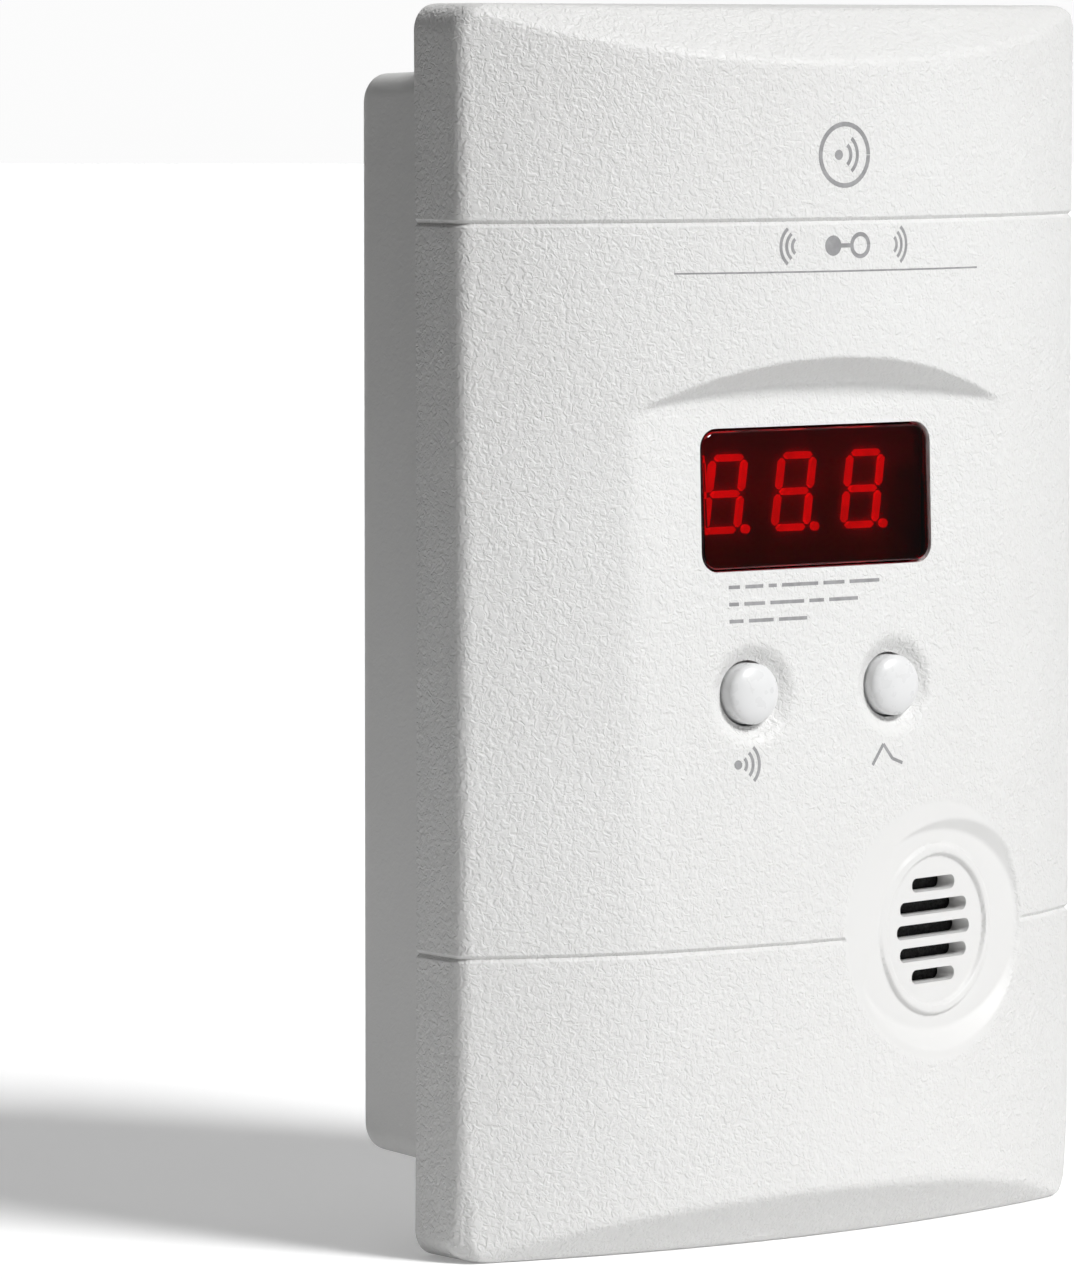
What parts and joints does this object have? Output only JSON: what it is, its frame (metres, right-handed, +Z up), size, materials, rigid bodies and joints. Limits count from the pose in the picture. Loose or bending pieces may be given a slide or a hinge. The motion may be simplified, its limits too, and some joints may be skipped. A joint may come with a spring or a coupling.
{
  "type": "carbon monoxide alarm",
  "caption": "Upright white plug-in gas alarm with a curved front, tinted numeric display, push buttons, round sounder recess, two plug blades and a rear battery bay.",
  "frame": {"origin": "on the flat wall face, midway between the two plug blades", "axes": "+X to the right seen from the front, +Y from the front back into the wall, +Z up"},
  "size_m": [0.0936, 0.0581, 0.1462],
  "materials": {
    "case": "warm white moulded plastic with a fine spark-eroded grain",
    "rear_case": "warm white moulded plastic, nearly smooth",
    "button": "smooth satin white",
    "lens": "polished dark red acrylic",
    "digit": "lit red light guide",
    "display_body": "dark moulded plastic",
    "black_plastic": "black moulded plastic",
    "screen": "fine black woven screen",
    "board": "green solder mask on glass-epoxy board",
    "steel": "plated steel",
    "brass": "bare brass",
    "winding": "enamelled copper wire, taken as brass",
    "core": "varnished steel laminations",
    "label": "blank satin silver label",
    "sleeve": "dark blue shrink sleeve",
    "battery": "printed metal jacket, density taken from stone"
  },
  "bodies": {
    "root": {"front_cover": "case", "rear_housing": "rear_case", "display_lens": "lens", "digit_1": "digit", "digit_2": "digit", "digit_3": "digit", "display_module": "display_body", "display_socket": "black_plastic", "test_switch_body": "steel", "peak_switch_body": "steel", "sounder_screen": "screen", "horn_housing": "black_plastic", "piezo_disc": "brass", "main_board": "board", "power_board": "board", "sensor_cell": "steel", "sensor_cap": "black_plastic", "microcontroller": "black_plastic", "sounder_driver": "black_plastic", "reservoir_capacitor": "sleeve", "filter_capacitor": "sleeve", "fuse": "steel", "varistor": "sleeve", "transformer_core": "core", "transformer_winding": "winding", "plug_base": "rear_case", "blade_left": "brass", "blade_right": "brass", "battery": "battery", "battery_stud_positive": "steel", "battery_stud_negative": "steel", "contact_positive": "steel", "contact_negative": "steel", "rating_label": "label", "case_screw_1": "steel", "case_screw_2": "steel", "case_screw_3": "steel", "case_screw_4": "steel", "board_screw_1": "steel", "board_screw_2": "steel"},
    "test_button": {"test_button": "button"},
    "peak_button": {"peak_button": "button"},
    "battery_door": {"battery_door": "rear_case"},
    "test_switch": {"test_switch_plunger": "black_plastic"},
    "peak_switch": {"peak_switch_plunger": "black_plastic"}
  },
  "joints": [
    {"name": "test_button_press", "type": "slide", "parent": "root", "child": "test_button", "axis": [0, 1, 0], "range_m": [0, 0.0008], "stiffness_N_per_m": 600, "springref_m": -0.0008},
    {"name": "peak_button_press", "type": "slide", "parent": "root", "child": "peak_button", "axis": [0, 1, 0], "range_m": [0, 0.0008], "stiffness_N_per_m": 600, "springref_m": -0.0008},
    {"name": "test_switch_press", "type": "slide", "parent": "root", "child": "test_switch", "axis": [0, 1, 0], "range_m": [0, 0.0008]},
    {"name": "peak_switch_press", "type": "slide", "parent": "root", "child": "peak_switch", "axis": [0, 1, 0], "range_m": [0, 0.0008]},
    {"name": "battery_door_hinge", "type": "hinge", "parent": "root", "child": "battery_door", "pos_m": [0, -0.0014, -0.08], "axis": [-1, 0, 0], "range_deg": [0, 105]}
  ],
  "couplings": [
    {"joint": "test_switch_press", "follows": "test_button_press", "ratio": 1},
    {"joint": "peak_switch_press", "follows": "peak_button_press", "ratio": 1}
  ]
}
